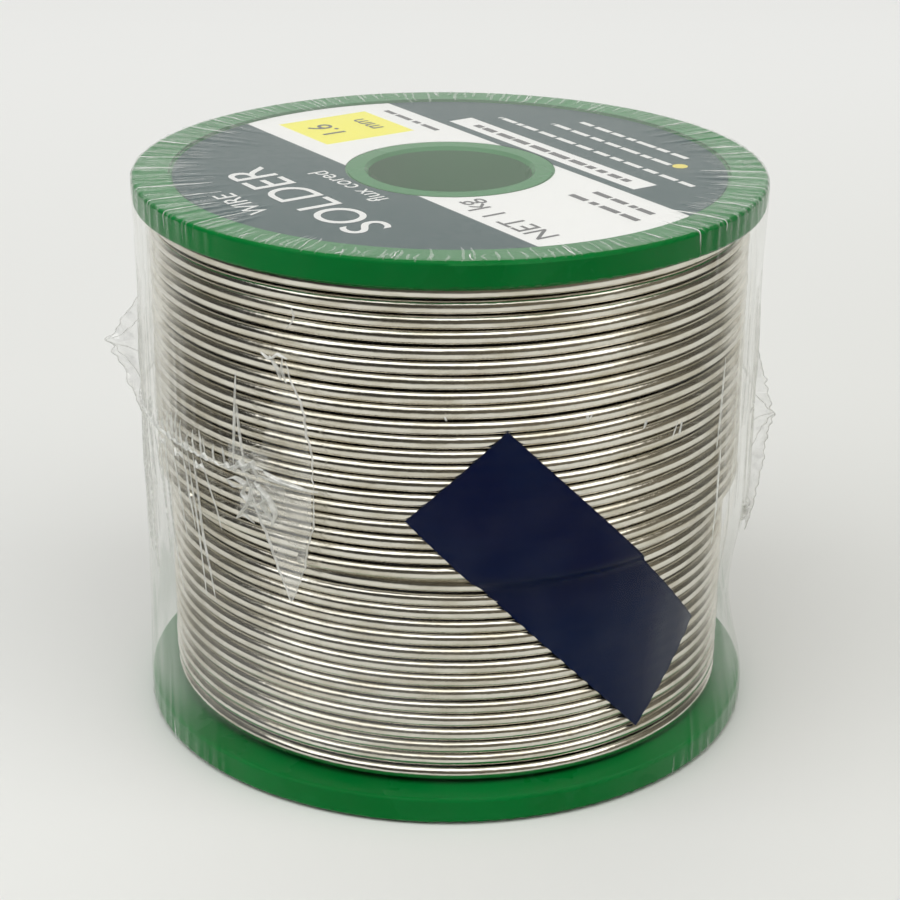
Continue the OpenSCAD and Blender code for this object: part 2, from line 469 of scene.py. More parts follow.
def strand(name, node, angles, radii, heights, wire_r=WIRE_R, material=SOLDER, sides=14):
    """A wire swept round the axis through the given places, standing in for a CAD node."""
    corner = np.arange(sides) * TURN / sides
    r = radii[:, None] + wire_r * np.cos(corner)
    z = heights[:, None] + wire_r * np.sin(corner)
    points = around(r, angles[:, None], z)
    return add_mesh(name, points, tube_faces(len(angles), sides), material, "spool", node)


STEPS_PER_TURN = 150
# Share of a turn over which a wire drops to the layer below, at its end
SINK_TURNS = 0.13
# Turns of the free end before it joins the winding
TAIL_TURNS = 0.92
# Its droop near the cut: how far, after how much of a turn, and over how much of one
DROOP, DROOP_AT, DROOP_SPREAD = 0.24, 0.05, 0.09
# How far the flux stands out of the cut end, as an angle
FLUX_OUT = 0.0006
# The full layer reads the same waves as the free end, so many turns further on
LOWER_START = 60
lay = Waves(11, 0.15, 3.3)
depth = Waves(12, 0.3, 4.2)
kinks = Waves(13, 9.0, 27.0)


def wound(turns, base_r, base_z):
    """Radii and heights of the wire after so many turns: not quite even, as wound wire is."""
    radii = base_r + 0.085 * depth(turns) + 0.006 * kinks(turns)
    heights = base_z + PITCH * turns + 0.075 * lay(turns) + 0.004 * kinks(turns + 0.37)
    return radii, heights


def sink(left):
    """How far a wire has dropped towards the layer below, with so many turns left before its end."""
    return (UPPER_R - LOWER_R) * (1 - smoothstep(left / SINK_TURNS))


def build_wire():
    """The free end and the turns above it, and the full layer below them, each ending at the back."""
    end = (WELL_HIGH - WIRE_R - TAIL_Z) / PITCH
    end = math.floor(end) + 0.5 - TAIL_ANGLE / TURN
    turns = np.arange(0, end, 1 / STEPS_PER_TURN)
    radii, heights = wound(turns, UPPER_R, TAIL_Z)
    radii = radii - sink(end - turns)
    heights = heights - DROOP * np.exp(-((turns - DROOP_AT) / DROOP_SPREAD) ** 2)
    heights = np.minimum(heights, WELL_HIGH - WIRE_R - 0.03)
    angles = TAIL_ANGLE + turns * TURN
    first = turns <= TAIL_TURNS
    joined = np.flatnonzero(first)[-1]
    strand("free_end", "wire_tail", angles[first], radii[first], heights[first])
    strand("winding_upper", "wire_layer_16", angles[joined:], radii[joined:], heights[joined:])
    strand("flux_in_free_end", "flux_core", angles[first] - FLUX_OUT, radii[first], heights[first],
           FLUX_R, FLUX, sides=10)

    count = round((WELL_HIGH - WELL_LOW) / PITCH - 1)
    turns = np.arange(0, count, 1 / STEPS_PER_TURN)
    radii, heights = wound(turns + LOWER_START, LOWER_R, WELL_LOW + WIRE_R - PITCH * (LOWER_START + 0.2))
    radii = radii - sink(turns)
    heights = np.clip(heights, WELL_LOW + WIRE_R + 0.02, WELL_HIGH - WIRE_R - 0.02)
    lower = strand("winding_lower", "wire_layer_15", math.pi - turns * TURN, radii, heights)
    lower.data.flip_normals()


# Tape

def build_tape():
    """The strip of tape, bent over the winding and down its step, and dipping between the turns."""
    along = np.linspace(-TAPE_L / 2, TAPE_L / 2, 150)[:, None]
    across = np.linspace(-TAPE_W / 2, TAPE_W / 2, 54)[None, :]
    run = along * math.cos(TAPE_SLOPE) + across * math.sin(TAPE_SLOPE)
    z = TAPE_Z - along * math.sin(TAPE_SLOPE) + across * math.cos(TAPE_SLOPE)
    angle = TAPE_ANGLE + run / UPPER_R
    step = smoothstep((z - (TAIL_Z - 2.9)) / 2.4)
    turns = (angle - TAIL_ANGLE) / TURN
    valley = np.sin(math.pi * (z - TAIL_Z - PITCH * turns) / PITCH) ** 2
    edge = 1 - np.minimum(np.abs(np.abs(across) - TAPE_W / 2), np.abs(np.abs(along) - TAPE_L / 2)) / 1.2
    dip = 0.03 + 0.045 * np.clip(edge, 0, 1)
    under = LOWER_R + (UPPER_R - LOWER_R) * step + WIRE_R + 0.06 - dip * valley
    creases = Waves(21, 0.05, 0.22)
    under = under + 0.03 * creases(along + 0.6 * across)
    rows, columns = under.shape
    points = np.vstack([around(under + TAPE_T, angle, z), around(under, angle, z)])
    faces = grid_faces(rows, columns)
    count = rows * columns
    faces += [face[::-1] for face in grid_faces(rows, columns, start=count)]
    loop = (list(range(columns)) + [i * columns + columns - 1 for i in range(1, rows)]
            + [count - 1 - i for i in range(1, columns)] + [i * columns for i in range(rows - 2, 0, -1)])
    for here, after in zip(loop, loop[1:] + loop[:1]):
        faces.append([here, here + count, after + count, after])
    add_mesh("tape_strip", points, faces, TAPE, "spool", "tape")


# Label

def on_label(along, across, z):
    """A point from its place along and across the label's band, and its height."""
    c, s = math.cos(BAND_DIRECTION), math.sin(BAND_DIRECTION)
    return np.array([along * c - across * s, along * s + across * c, z])


def build_label():
    """A thin printed disc with a hole, very slightly uneven, as stuck-on paper is."""
    columns = 192
    angle = np.arange(columns) * TURN / columns
    inner, outer = HUB_R + 0.05, LABEL_R
    radii = np.concatenate([[inner, inner], np.linspace(inner + 0.1, outer - 0.1, 24), [outer, outer]])
    z = np.full(len(radii), LABEL_Z)
    z[0] = z[-1] = low("top_label")[2]
    ripple = 0.015 * Waves(31, 1, 6)(angle / TURN)[None, :] * np.sin(
        math.pi * (radii - inner) / (outer - inner))[:, None]
    points = around(radii[:, None], angle[None, :], z[:, None] + ripple)
    faces = grid_faces(len(radii), columns, closed=True)
    rows = len(radii)
    for column in range(columns):
        after = (column + 1) % columns
        bottom = (rows - 1) * columns
        faces.append([column, after, bottom + after, bottom + column])
    add_mesh("printed_disc", points, faces, LABEL, "spool", "top_label")


def add_text(name, words, along, across, height, material):
    """Generic words on the label, as thin ink, centred at a place along and across the band."""
    curve = bpy.data.curves.new(name, "FONT")
    curve.body = words
    curve.align_x = "CENTER"
    curve.align_y = "CENTER"
    curve.size = height * 1.4 * MM
    curve.extrude = 0.008 * MM
    place = on_label(along, across, LABEL_Z + 0.025) * MM
    holder = bpy.data.objects.new(name + "_curve", curve)
    bpy.context.scene.collection.objects.link(holder)
    bpy.context.view_layer.update()
    mesh = bpy.data.meshes.new_from_object(holder.evaluated_get(bpy.context.evaluated_depsgraph_get()))
    bpy.data.objects.remove(holder)
    mesh.transform(Matrix.Translation(place) @ Matrix.Rotation(BAND_DIRECTION, 4, "Z"))
    add_piece(name, mesh, material, "spool")


def add_ink(name, outlines, material):
    """Thin flat slabs of ink, each with an outline through corners given as (along, across)."""
    points, faces = [], []
    for corners in outlines:
        start, sides = len(points), len(corners)
        for rise in (0.012, 0.03):
            points += [on_label(along, across, LABEL_Z + rise) for along, across in corners]
        faces.append(list(range(start + sides - 1, start - 1, -1)))
        faces.append(list(range(start + sides, start + 2 * sides)))
        for i in range(sides):
            j = (i + 1) % sides
            faces.append([start + i, start + j, start + sides + j, start + sides + i])
    add_mesh(name, points, faces, material, "spool", smooth=False)


def add_small_print(name, along_from, along_to, across, height, seed, material):
    """A line of short plain dashes, standing for small print with nothing to read."""
    rng = np.random.default_rng(seed)
    low_edge, high_edge = across - height / 2, across + height / 2
    dashes = []
    here = along_from
    while here < along_to:
        end = min(here + rng.uniform(0.9, 3.4), along_to)
        dashes.append([(here, low_edge), (end, low_edge), (end, high_edge), (here, high_edge)])
        here = end + rng.uniform(0.35, 0.8)
    add_ink(name, dashes, material)


def add_dot(name, along, across, radius, material):
    """A plain printed dot."""
    turn = np.arange(24) * TURN / 24
    add_ink(name, [[(along + radius * math.cos(a), across + radius * math.sin(a)) for a in turn]], material)


def print_label():
    """Generic words, and lines of dashes where the rest of the print is."""
    add_text("print_solder", "SOLDER", -2.0, 20.2, 5.6, PALE_INK)
    add_text("print_wire", "WIRE", 0.2, 27.0, 2.6, PALE_INK)
    add_text("print_flux_cored", "flux cored", 0.0, 13.6, 2.4, PALE_INK)
    add_text("print_net", "NET 1 kg", -20.0, 6.4, 3.0, DARK_INK)
    add_text("print_size", "1.6", 22.2, 2.6, 3.2, DARK_INK)
    add_text("print_mm", "mm", 22.2, -2.8, 2.4, DARK_INK)
    add_small_print("print_patch_edge", 15.0, 26.5, -8.4, 0.7, 41, DARK_INK)
    add_small_print("print_code", -28.0, -16.0, -5.0, 0.8, 42, DARK_INK)
    add_small_print("print_date", -27.0, -16.5, -7.8, 0.8, 43, DARK_INK)
    add_small_print("print_box", -15.5, 15.0, -13.7, 0.9, 44, DARK_INK)
    add_small_print("print_row_one", -21.0, 16.0, -18.4, 0.75, 45, PALE_INK)
    add_small_print("print_row_two", -12.5, 10.0, -22.0, 0.75, 46, PALE_INK)
    add_dot("print_dot", -13.6, -22.6, 0.9, YELLOW_INK)
    add_small_print("print_row_three", -11.5, 9.0, -25.4, 0.75, 47, PALE_INK)


# Film

FILM_CLEAR = 0.05
# How far the wall is drawn in between the flanges, and further in low on the right, up to a height
WAIST = 0.35
PULL_IN, PULL_UP = 1.7, 27.0
CORNER_R = FLANGE_R + FILM_CLEAR - RIM_EDGE_R
CORNER_RUN = RIM_EDGE_R * math.pi / 2
FILM_COLUMNS = 1260
ridge = Waves(53, 1, 9)
sway = Waves(54, 2, 14)
ruffle = Waves(55, 9, 60)


def side_share(angle):
    """How far round to the sides a direction is: 0 in front and behind, 1 at the left and right."""
    return np.sin(angle) ** 2


class FilmHalf:
    """One half of the film. A place on it is an angle round the axis and a run, in millimetres from its rim:
    inward over its flat end below 0, and round the corner and along its wall above 0."""

    def __init__(self, name, outward, body):
        self.name, self.outward, self.body = name, outward, body
        self.face_z = TOP_Z + FILM_CLEAR if outward > 0 else BASE_Z - FILM_CLEAR
        self.seal_run = self.run_at(SEAL_Z)

    def run_at(self, z):
        """The run of a place on the wall at a height."""
        return CORNER_RUN + abs(self.face_z - z) - RIM_EDGE_R

    def place(self, angle, run, lift=0.0):
        """Points on the film, or a little way off it."""
        bend = np.clip(run / RIM_EDGE_R, 0, math.pi / 2)
        down = np.maximum(run - CORNER_RUN, 0)
        z = self.face_z - self.outward * (RIM_EDGE_R * (1 - np.cos(bend)) + down)
        share = np.clip((z - WELL_LOW) / (WELL_HIGH - WELL_LOW), 0, 1)
        waist = WAIST * np.sin(math.pi * share) ** 0.7 * (run > CORNER_RUN)
        if self.outward < 0:
            pulled = np.clip((z - WELL_LOW) / PULL_UP, 0, 1)
            pulled = np.sin(math.pi * pulled ** 0.8) ** 2 * smoothstep((np.sin(angle) - 0.55) / 0.40)
            waist = waist + PULL_IN * pulled
        r = CORNER_R + np.minimum(run, 0) + RIM_EDGE_R * np.sin(bend)
        turns = angle / TURN
        slack = 0.06 * smoothstep(down / 9) * (1 + sway(turns) + 1.2 * side_share(angle) * ruffle(turns))
        sag = 0.05 * ridge(turns) * np.clip(-run / 9, 0, 1) * smoothstep((r - 12) / 12)
        lift = lift + slack + sag
        return around(r - waist + lift * np.sin(bend), angle, z + self.outward * lift * np.cos(bend))


class Pleats:
    """Soft waves across a sheet. Each has a place round the axis, a reach both ways, a height and a width."""

    def __init__(self, seed):
        self.rng = np.random.default_rng(seed)
        self.rows = []

    def scatter(self, from_deg, to_deg, gap, inward, outward, height, width):
        """Spreads waves over an arc of the rim, about a gap apart; ranges are (least, most)."""
        pick = self.rng.uniform
        angle = math.radians(from_deg)
        while angle < math.radians(to_deg):
            self.rows.append((angle, pick(*inward), pick(*outward), pick(*height), pick(*width)))
            angle += gap * pick(0.6, 1.4) / FLANGE_R

    def heights(self, angles, distance):
        """Wave heights at every angle and every distance from the line the waves cross."""
        total = np.zeros((len(distance), len(angles)))
        for place, inward, outward, height, width in self.rows:
            reach = np.where(distance < 0, -distance / inward, distance / outward)
            rise = height * np.clip(1 - reach, 0, 1) ** 0.8
            gap = (angles - place + math.pi) % TURN - math.pi
            total = np.maximum(total, rise[:, None] * np.exp(-(gap * FLANGE_R / width) ** 2)[None, :])
        return total


def film_sheet(half, node):
    """The sheet itself, from the middle of its flat end to the seal, with its soft waves."""
    angles = np.arange(FILM_COLUMNS) * TURN / FILM_COLUMNS - math.pi
    flat = np.concatenate([np.linspace(0.01, 18, 8), np.linspace(19.2, CORNER_R, 28)]) - CORNER_R
    corner = np.linspace(0, CORNER_RUN, 7)[1:]
    wall = np.concatenate([np.linspace(0.5, 3.6, 7), np.linspace(4.6, half.seal_run - CORNER_RUN, 24)])
    runs = np.concatenate([flat, corner, CORNER_RUN + wall])
    rim = Pleats(51)
    rim.scatter(-122, -42, 2.2, (4.5, 12.0), (3.0, 12.0), (0.08, 0.20), (0.4, 0.8))
    rim.scatter(-42, 48, 2.8, (2.5, 4.8), (0.6, 1.6), (0.04, 0.09), (0.25, 0.4))
    rim.scatter(48, 125, 2.2, (4.0, 9.0), (3.0, 12.0), (0.08, 0.20), (0.4, 0.8))
    rim.scatter(125, 238, 2.8, (2.5, 5.5), (0.6, 2.0), (0.04, 0.10), (0.25, 0.5))
    seal = Pleats(52)
    seal.scatter(-112, -38, 2.3, (8.0, 16.0), (8.0, 16.0), (0.10, 0.26), (0.35, 0.7))
    seal.scatter(56, 112, 2.6, (6.0, 15.0), (6.0, 17.0), (0.10, 0.26), (0.35, 0.7))
    lift = rim.heights(angles, runs) + seal.heights(angles, runs - half.seal_run)
    points = half.place(angles[None, :], runs[:, None], lift)
    faces = grid_faces(len(runs), FILM_COLUMNS, closed=True)
    faces.append(list(range(FILM_COLUMNS - 1, -1, -1)))
    add_film(half, half.name, points, faces, FILM, node)


def add_film(half, name, points, faces, material, node=None):
    """A piece of film that rides with its half. Faces on the lower half are turned to look outward."""
    if half.outward < 0:
        faces = [face[::-1] for face in faces]
    add_mesh(name, points, faces, material, half.body, node)


class Folds:
    """Narrow creased folds lying on one half of the film, gathered into one mesh."""

    ACROSS = np.array([-0.5, -0.22, 0.0, 0.30, 0.5])
    RISE = np.array([0.0, 0.75, 1.0, 0.45, 0.0])

    def __init__(self, half, seed):
        self.half = half
        self.rng = np.random.default_rng(seed)
        self.points, self.faces, self.count = [], [], 0

    def add(self, angles, runs, width, height, off=0.015):
        """A fold along a path of places, narrowing to nothing at both ends."""
        taper = np.sin(math.pi * np.linspace(0.03, 0.97, len(angles)))[:, None] ** 0.6
        way = np.stack([np.gradient(angles) * FLANGE_R, np.gradient(runs)], -1)
        way /= np.linalg.norm(way, axis=1)[:, None]
        across = self.ACROSS * width * taper
        self.points.append(self.half.place(angles[:, None] + way[:, 1:] * across / FLANGE_R,
                                           runs[:, None] - way[:, :1] * across,
                                           self.RISE * height * taper + off))
        self.faces += grid_faces(len(angles), len(self.ACROSS), start=self.count)
        self.count += len(angles) * len(self.ACROSS)

    def along_run(self, angle, run_from, run_to, width, height, lean=0.0, bend=0.0):
        """A fold that runs over the rim or up the wall, leaning and bending by so many millimetres."""
        t = np.linspace(0, 1, max(8, int(abs(run_to - run_from) / 0.35)))
        wobble = 0.10 * Waves(int(self.rng.integers(1 << 30)), 0.6, 2.5, 4)(t)
        aside = lean * t + bend * np.sin(math.pi * t) + wobble
        self.add(angle + aside / FLANGE_R, run_from + (run_to - run_from) * t, width, height)

    def scatter(self, from_deg, to_deg, gap, before, after, width, height, line=0.0, lean=(0, 0)):
        """Folds over an arc, about a gap apart, each crossing a line at a run; ranges are (least, most)."""
        pick = self.rng.uniform
        angle = math.radians(from_deg)
        while angle < math.radians(to_deg):
            self.along_run(angle, line - pick(*before), line + pick(*after), pick(*width), pick(*height),
                           pick(*lean), pick(-0.4, 0.4))
            angle += gap * pick(0.5, 1.5) / FLANGE_R

    def glint(self, angle_deg, z, size, count):
        """A small pucker: a few short folds that cross at one place."""
        middle, run = math.radians(angle_deg), self.half.run_at(z)
        for i in range(count):
            tilt = self.rng.uniform(-0.9, 0.9)
            half_length = size * self.rng.uniform(0.35, 0.6)
            t = np.linspace(-half_length, half_length, 9)
            aside = self.rng.uniform(-0.3, 0.3) * size
            self.add(middle + (t * math.sin(tilt) + aside) / FLANGE_R, run + t * math.cos(tilt),
                     self.rng.uniform(0.09, 0.16), self.rng.uniform(0.10, 0.26))

    def star(self, angle_deg, z, arms, reach, height):
        """Folds that run out from one place in all directions, each curving its own way."""
        pick = self.rng.uniform
        t = np.linspace(0, 1, 20)
        for i in range(arms):
            heading = math.radians(360 * (i + pick(0.1, 0.9)) / arms)
            length, curl = reach * pick(0.45, 1.0), pick(-0.55, 0.55)
            aside = length * (t * math.cos(heading) - curl * t * t * math.sin(heading))
            rise = z + length * (t * math.sin(heading) + curl * t * t * math.cos(heading))
            self.across_wall(angle_deg, aside, rise, pick(0.22, 0.48), height * pick(0.5, 1.0))

    def crease(self, angle_deg, corners, width, height):
        """A fold through corners given as (aside, z), rounded a little at each."""
        corners = np.array(corners, float)
        steps = 12 * (len(corners) - 1)
        place = np.linspace(0, len(corners) - 1, steps)
        aside, z = (np.interp(place, range(len(corners)), corners[:, i]) for i in (0, 1))
        soften = np.array([0.15, 0.2, 0.3, 0.2, 0.15])
        inner = slice(2, -2)
        aside[inner], z[inner] = (np.convolve(line, soften, "valid") for line in (aside, z))
        self.across_wall(angle_deg, aside, z, width, height)

    def across_wall(self, angle_deg, aside, z, width, height, off=0.015):
        """A fold on the wall along a path in millimetres aside from an angle, and in height. It stays on its
        own side of the seal."""
        run = self.half.run_at(z)
        nearest = self.half.seal_run - 0.02 - 0.02 * np.linspace(0, 1, len(aside))
        self.add(math.radians(angle_deg) + aside / FLANGE_R, np.minimum(run, nearest), width, height, off)

    def build(self, name, material=CREASE):
        add_film(self.half, name, np.vstack(self.points), self.faces, material)


def crumple(u, v, seed, finest=2.2, count=7):
    """Creased heights, mostly from -1 to 1: flat facets that meet in sharp folds, as in crushed film."""
    rng = np.random.default_rng(seed)
    total = 0
    for i in range(count):
        turn = rng.uniform(0, math.pi)
        wave = finest * 1.55 ** i
        phase = (u * math.cos(turn) + v * math.sin(turn)) / wave + rng.uniform(0, 1)
        total = total + (np.abs(phase % 1 - 0.5) * 4 - 1) * 1.35 ** i
    return total / 1.35 ** count * 0.8


def rim_folds(folds, gap, thin, rise):
    """Folds gathered over a rim: close and long at both sides, short in front and behind."""
    thick = (thin * 0.7, thin * 1.3)
    high = (rise * 0.7, rise * 1.3)
    low = (rise * 0.25, rise * 0.5)
    folds.scatter(-124, -46, gap, (2.5, 9.0), (0.2, 3.0), thick, high, lean=(-0.5, 0.5))
    folds.scatter(-46, 46, gap * 1.4, (1.6, 4.6), (0.0, 0.4), thick, low, lean=(-0.3, 0.3))
    folds.scatter(46, 126, gap, (2.5, 7.5), (0.2, 3.0), thick, high, lean=(-0.5, 0.5))
    folds.scatter(126, 236, gap * 1.6, (2.0, 6.0), (0.0, 1.0), thick, low, lean=(-0.3, 0.3))


def seal_folds(folds, from_deg, to_deg, gap, far, width, lean=(-0.8, 0.8)):
    """Upright folds gathered at the seal, on one side of it, reaching as far as the range says."""
    folds.scatter(from_deg, to_deg, gap, far, (-0.05, 0.0), width, (0.12, 0.30), folds.half.seal_run, lean)


def seal_line(folds):
    """The trim seal: a thin crimped weld that runs round the back and both sides, but not across the
    front."""
    angles = np.radians(np.arange(74, 325, 0.18))
    crimps = 0.16 * Waves(61, 40, 190, 9)(angles / TURN)
    folds.add(angles, folds.half.seal_run - 0.28 + np.minimum(crimps, 0.2), width=0.5, height=0.55)


def knot(half, name, seed, middle_deg, z_middle, width, height, stand):
    """A crushed bunch of film, standing off the wall."""
    size = 64
    u = np.linspace(-1, 1, size)[:, None] * np.ones(size)
    v = np.ones(size)[:, None] * np.linspace(-1, 1, size)
    inside = np.clip(1 - (np.abs(u) ** 2.4 + np.abs(v) ** 2.4), 0, 1) ** 0.5
    across = width / 2 * u + 0.55 * crumple(u * 3, v * 3, seed + 1) * inside
    up = height / 2 * v + 0.55 * crumple(u * 3, v * 3, seed + 2) * inside
    lift = 0.05 + stand * inside * (0.45 + 0.55 * crumple(u * 3.2, v * 3.2, seed, finest=0.8))
    z = z_middle + up
    z = np.maximum(z, SEAL_Z + 0.02) if half.outward > 0 else np.minimum(z, SEAL_Z - 0.02)
    run = half.run_at(z)
    points = half.place(math.radians(middle_deg) + across / FLANGE_R, run, np.maximum(lift, 0.03))
    add_film(half, name, points, grid_faces(size, size), THIN_CRUSHED)


def flap(half, name, tip_deg, tip_z, left, right, seed, edges, material):
    """A leaf-shaped layer of loose film from the seal to its tip, standing proud along its right edge."""
    rows, columns = 90, 40
    t = np.linspace(0, 1, rows)[:, None]
    s = np.linspace(0, 1, columns)[None, :]
    edge_waves = Waves(seed, 0.8, 4.5, 5)
    left_edge = -left * (1 - t) ** 1.15 + 0.25 * edge_waves(t + 3)
    right_edge = right * (1 - t ** 2.2) + 0.22 * edge_waves(t)
    across = left_edge + (right_edge - left_edge) * s
    z = SEAL_Z + half.outward * 0.02 + (tip_z - SEAL_Z) * t
    run = half.run_at(z)
    loose = 0.10 + 0.55 * np.clip((s - 0.75) / 0.25, 0, 1) ** 2 * np.sin(math.pi * np.clip(t + 0.2, 0, 1))
    lift = loose + 0.10 * crumple(across, z, seed + 5, finest=2.8) * (1 - t) + 0.05
    points = half.place(math.radians(tip_deg) + across / FLANGE_R, run, np.maximum(lift, 0.03))
    add_film(half, name, points, grid_faces(rows, columns), material)
    outline = Folds(half, seed + 9)
    kinks = 0.10 * Waves(seed + 11, 3, 13, 6)(t[:, 0])
    for edge in edges:
        aside = (left_edge if edge == "left" else right_edge)[:, 0] + kinks
        outline.across_wall(tip_deg, aside, z[:, 0], 0.20, 0.34, off=0.10)
    outline.build(name + "_edge")


def rope(half, name, path, thick=0.07, sides=6):
    """The rolled edge of a torn or crushed sheet: a thin round bead along a path of points."""
    way = np.gradient(path, axis=0)
    way /= np.linalg.norm(way, axis=1)[:, None]
    aside = np.cross(way, (0.31, 0.87, 0.38))
    aside /= np.linalg.norm(aside, axis=1)[:, None]
    other = np.cross(way, aside)
    corner = (np.arange(sides) * TURN / sides)[None, :, None]
    rings = path[:, None] + thick * (np.cos(corner) * aside[:, None] + np.sin(corner) * other[:, None])
    faces = [face[::-1] for face in tube_faces(len(path), sides)]
    add_mesh(name, rings.reshape(-1, 3), faces, CREASE, half.body)


def ear(half, name, angle_deg, z_from, z_tip, z_to, stand, hollow, seed):
    """Its half of a crushed corner of the film, which sticks out of one side and is widest at its tip."""
    outline = Waves(seed, 0.15, 1.1, 6)

    def surface(level, s):
        """Points on the ear at heights, and at shares of its width."""
        rising, falling = (level - z_from) / (z_tip - z_from), (z_to - level) / (z_to - z_tip)
        peak = np.clip(np.minimum(np.abs(rising) ** hollow, falling), 0, 1)
        out = stand * peak * (1 + 0.14 * outline(level)) * s
        calm = smoothstep(np.abs(level - SEAL_Z) / 1.5)
        fold = crumple(out * 1.1, level, seed + 2, finest=1.6)
        aside = (1.1 * fold + 0.5 * np.sin(level * 0.4)) * peak ** 0.5 * s
        z = level + 0.16 * crumple(out, level * 0.7, seed + 1, finest=1.2) * s * calm
        return around(FLANGE_R - 0.25 + out, math.radians(angle_deg) + aside / FLANGE_R, z)

    rows, columns = 90, 34
    edge = SEAL_Z + half.outward * 0.03
    first, last = (max(z_from, edge), z_to) if half.outward > 0 else (z_from, min(z_to, edge))
    points = surface(np.linspace(first, last, rows)[:, None], np.linspace(0, 1, columns)[None, :])
    rope(half, name + "_edge", surface(np.linspace(first, last, 90), 1.0), 0.06)
    if first <= z_tip <= last:
        t = np.linspace(0, 1, 40)
        for i, root in enumerate((z_tip + 3.2, z_tip - 1.0, z_tip - 4.6)):
            root = min(max(root, first), last)
            rope(half, name + "_fold_" + str(i), surface(z_tip + (root - z_tip) * t, 1 - 0.9 * t), 0.05)
    add_film(half, name, points, grid_faces(rows, columns), CRUSHED)


def side_fin(folds, angle_deg, z_from, z_to, seed):
    """The ruffled edge of the film's side weld, running up the wall."""
    t = np.linspace(0, 1, 160)
    z = z_from + (z_to - z_from) * t
    runs = folds.half.run_at(z)
    waves = 0.22 * Waves(seed, 5, 22, 7)(t)
    folds.add(math.radians(angle_deg) + waves / FLANGE_R, runs, 0.5, 0.45)


def soft_folds(half, name, seed):
    """Wide, soft folds: over the rim, and at the seal's two sides."""
    soft = Folds(half, seed)
    rim_folds(soft, gap=0.80, thin=0.34, rise=0.13)
    seal_folds(soft, -114, -64, 1.5, (7.0, 20.0), (0.4, 0.9))
    seal_folds(soft, 62, 116, 2.0, (7.0, 18.0), (0.4, 0.9))
    seal_folds(soft, 116, 246, 1.3, (2.5, 9.0), (0.3, 0.6))
    soft.build(name + "_soft_folds", SOFT_CREASE)


# Directions of the crushed bunch at the seal's front end, the flap's upper tip, and the spike by the bunch
BUNCH_DEG, TIP_DEG, SPIKE_DEG = -36, -29, -38.5


def upper_folds(top):
    """The sharp folds of the upper half. Corners of a crease are millimetres aside and heights."""
    folds = Folds(top, 71)
    rim_folds(folds, gap=5.5, thin=0.13, rise=0.10)
    seal_folds(folds, -76, -42, 1.3, (1.2, 4.2), (0.08, 0.14), lean=(0.1, 0.5))
    seal_folds(folds, 116, 246, 7.0, (3.0, 9.0), (0.14, 0.22))
    seal_line(folds)
    side_fin(folds, -88, SEAL_Z + 0.1, 46, 81)
    folds.crease(-27, [(0.3, 58.6), (0.6, 57.8), (0.3, 57.0), (-0.5, 56.2)], 0.18, 0.3)
    folds.glint(-0.6, 48, 0.5, 3)
    folds.glint(24, 47, 0.8, 3)
    folds.glint(35, 45, 1.1, 2)
    folds.glint(43.5, 43.2, 1.9, 3)
    folds.crease(TIP_DEG, [(-2.4, 53.1), (-1.2, 52.5), (-0.3, 53.3), (0.9, 52.9)], 0.30, 0.5)
    folds.crease(TIP_DEG, [(-1.3, 52.9), (-0.3, 51.8), (0.1, 50.4)], 0.26, 0.5)
    folds.crease(TIP_DEG, [(0.3, 53.1), (0.2, 51.6), (0.7, 50.2)], 0.22, 0.4)
    for place in range(-65, -40, 6):
        folds.crease(place, [(-0.9, 38.5), (-0.3, 39.3), (0.3, 38.6), (1.0, 39.0)], 0.3, 0.4)
    # A tall, narrow spike
    folds.crease(SPIKE_DEG, [(-0.8, 39.2), (-0.4, 44.0), (0.0, 50.0)], 0.22, 0.32)
    folds.crease(SPIKE_DEG, [(0.9, 39.2), (0.3, 43.6), (0.0, 46.5)], 0.20, 0.32)
    # The upper part of the crushed bunch at the seal's end, and two folds that run on from it
    folds.crease(BUNCH_DEG, [(-3.4, 38.6), (-1.7, 39.4), (0.1, 39.9), (1.9, 39.7)], 0.42, 0.8)
    folds.crease(BUNCH_DEG, [(-2.2, 38.4), (-1.2, 40.3), (-0.2, 39.2), (0.5, 40.6), (1.1, 38.6)], 0.32, 0.9)
    folds.crease(BUNCH_DEG, [(1.9, 39.6), (3.6, 39.1), (8.6, 38.35)], 0.36, 0.7)
    folds.crease(BUNCH_DEG, [(1.2, 39.0), (4.5, 38.7), (8.2, 38.3)], 0.24, 0.5)
    folds.along_run(math.radians(57), top.run_at(49), top.run_at(SEAL_Z + 0.05), 0.22, 0.16, lean=-0.8)
    folds.build("film_cap_folds")


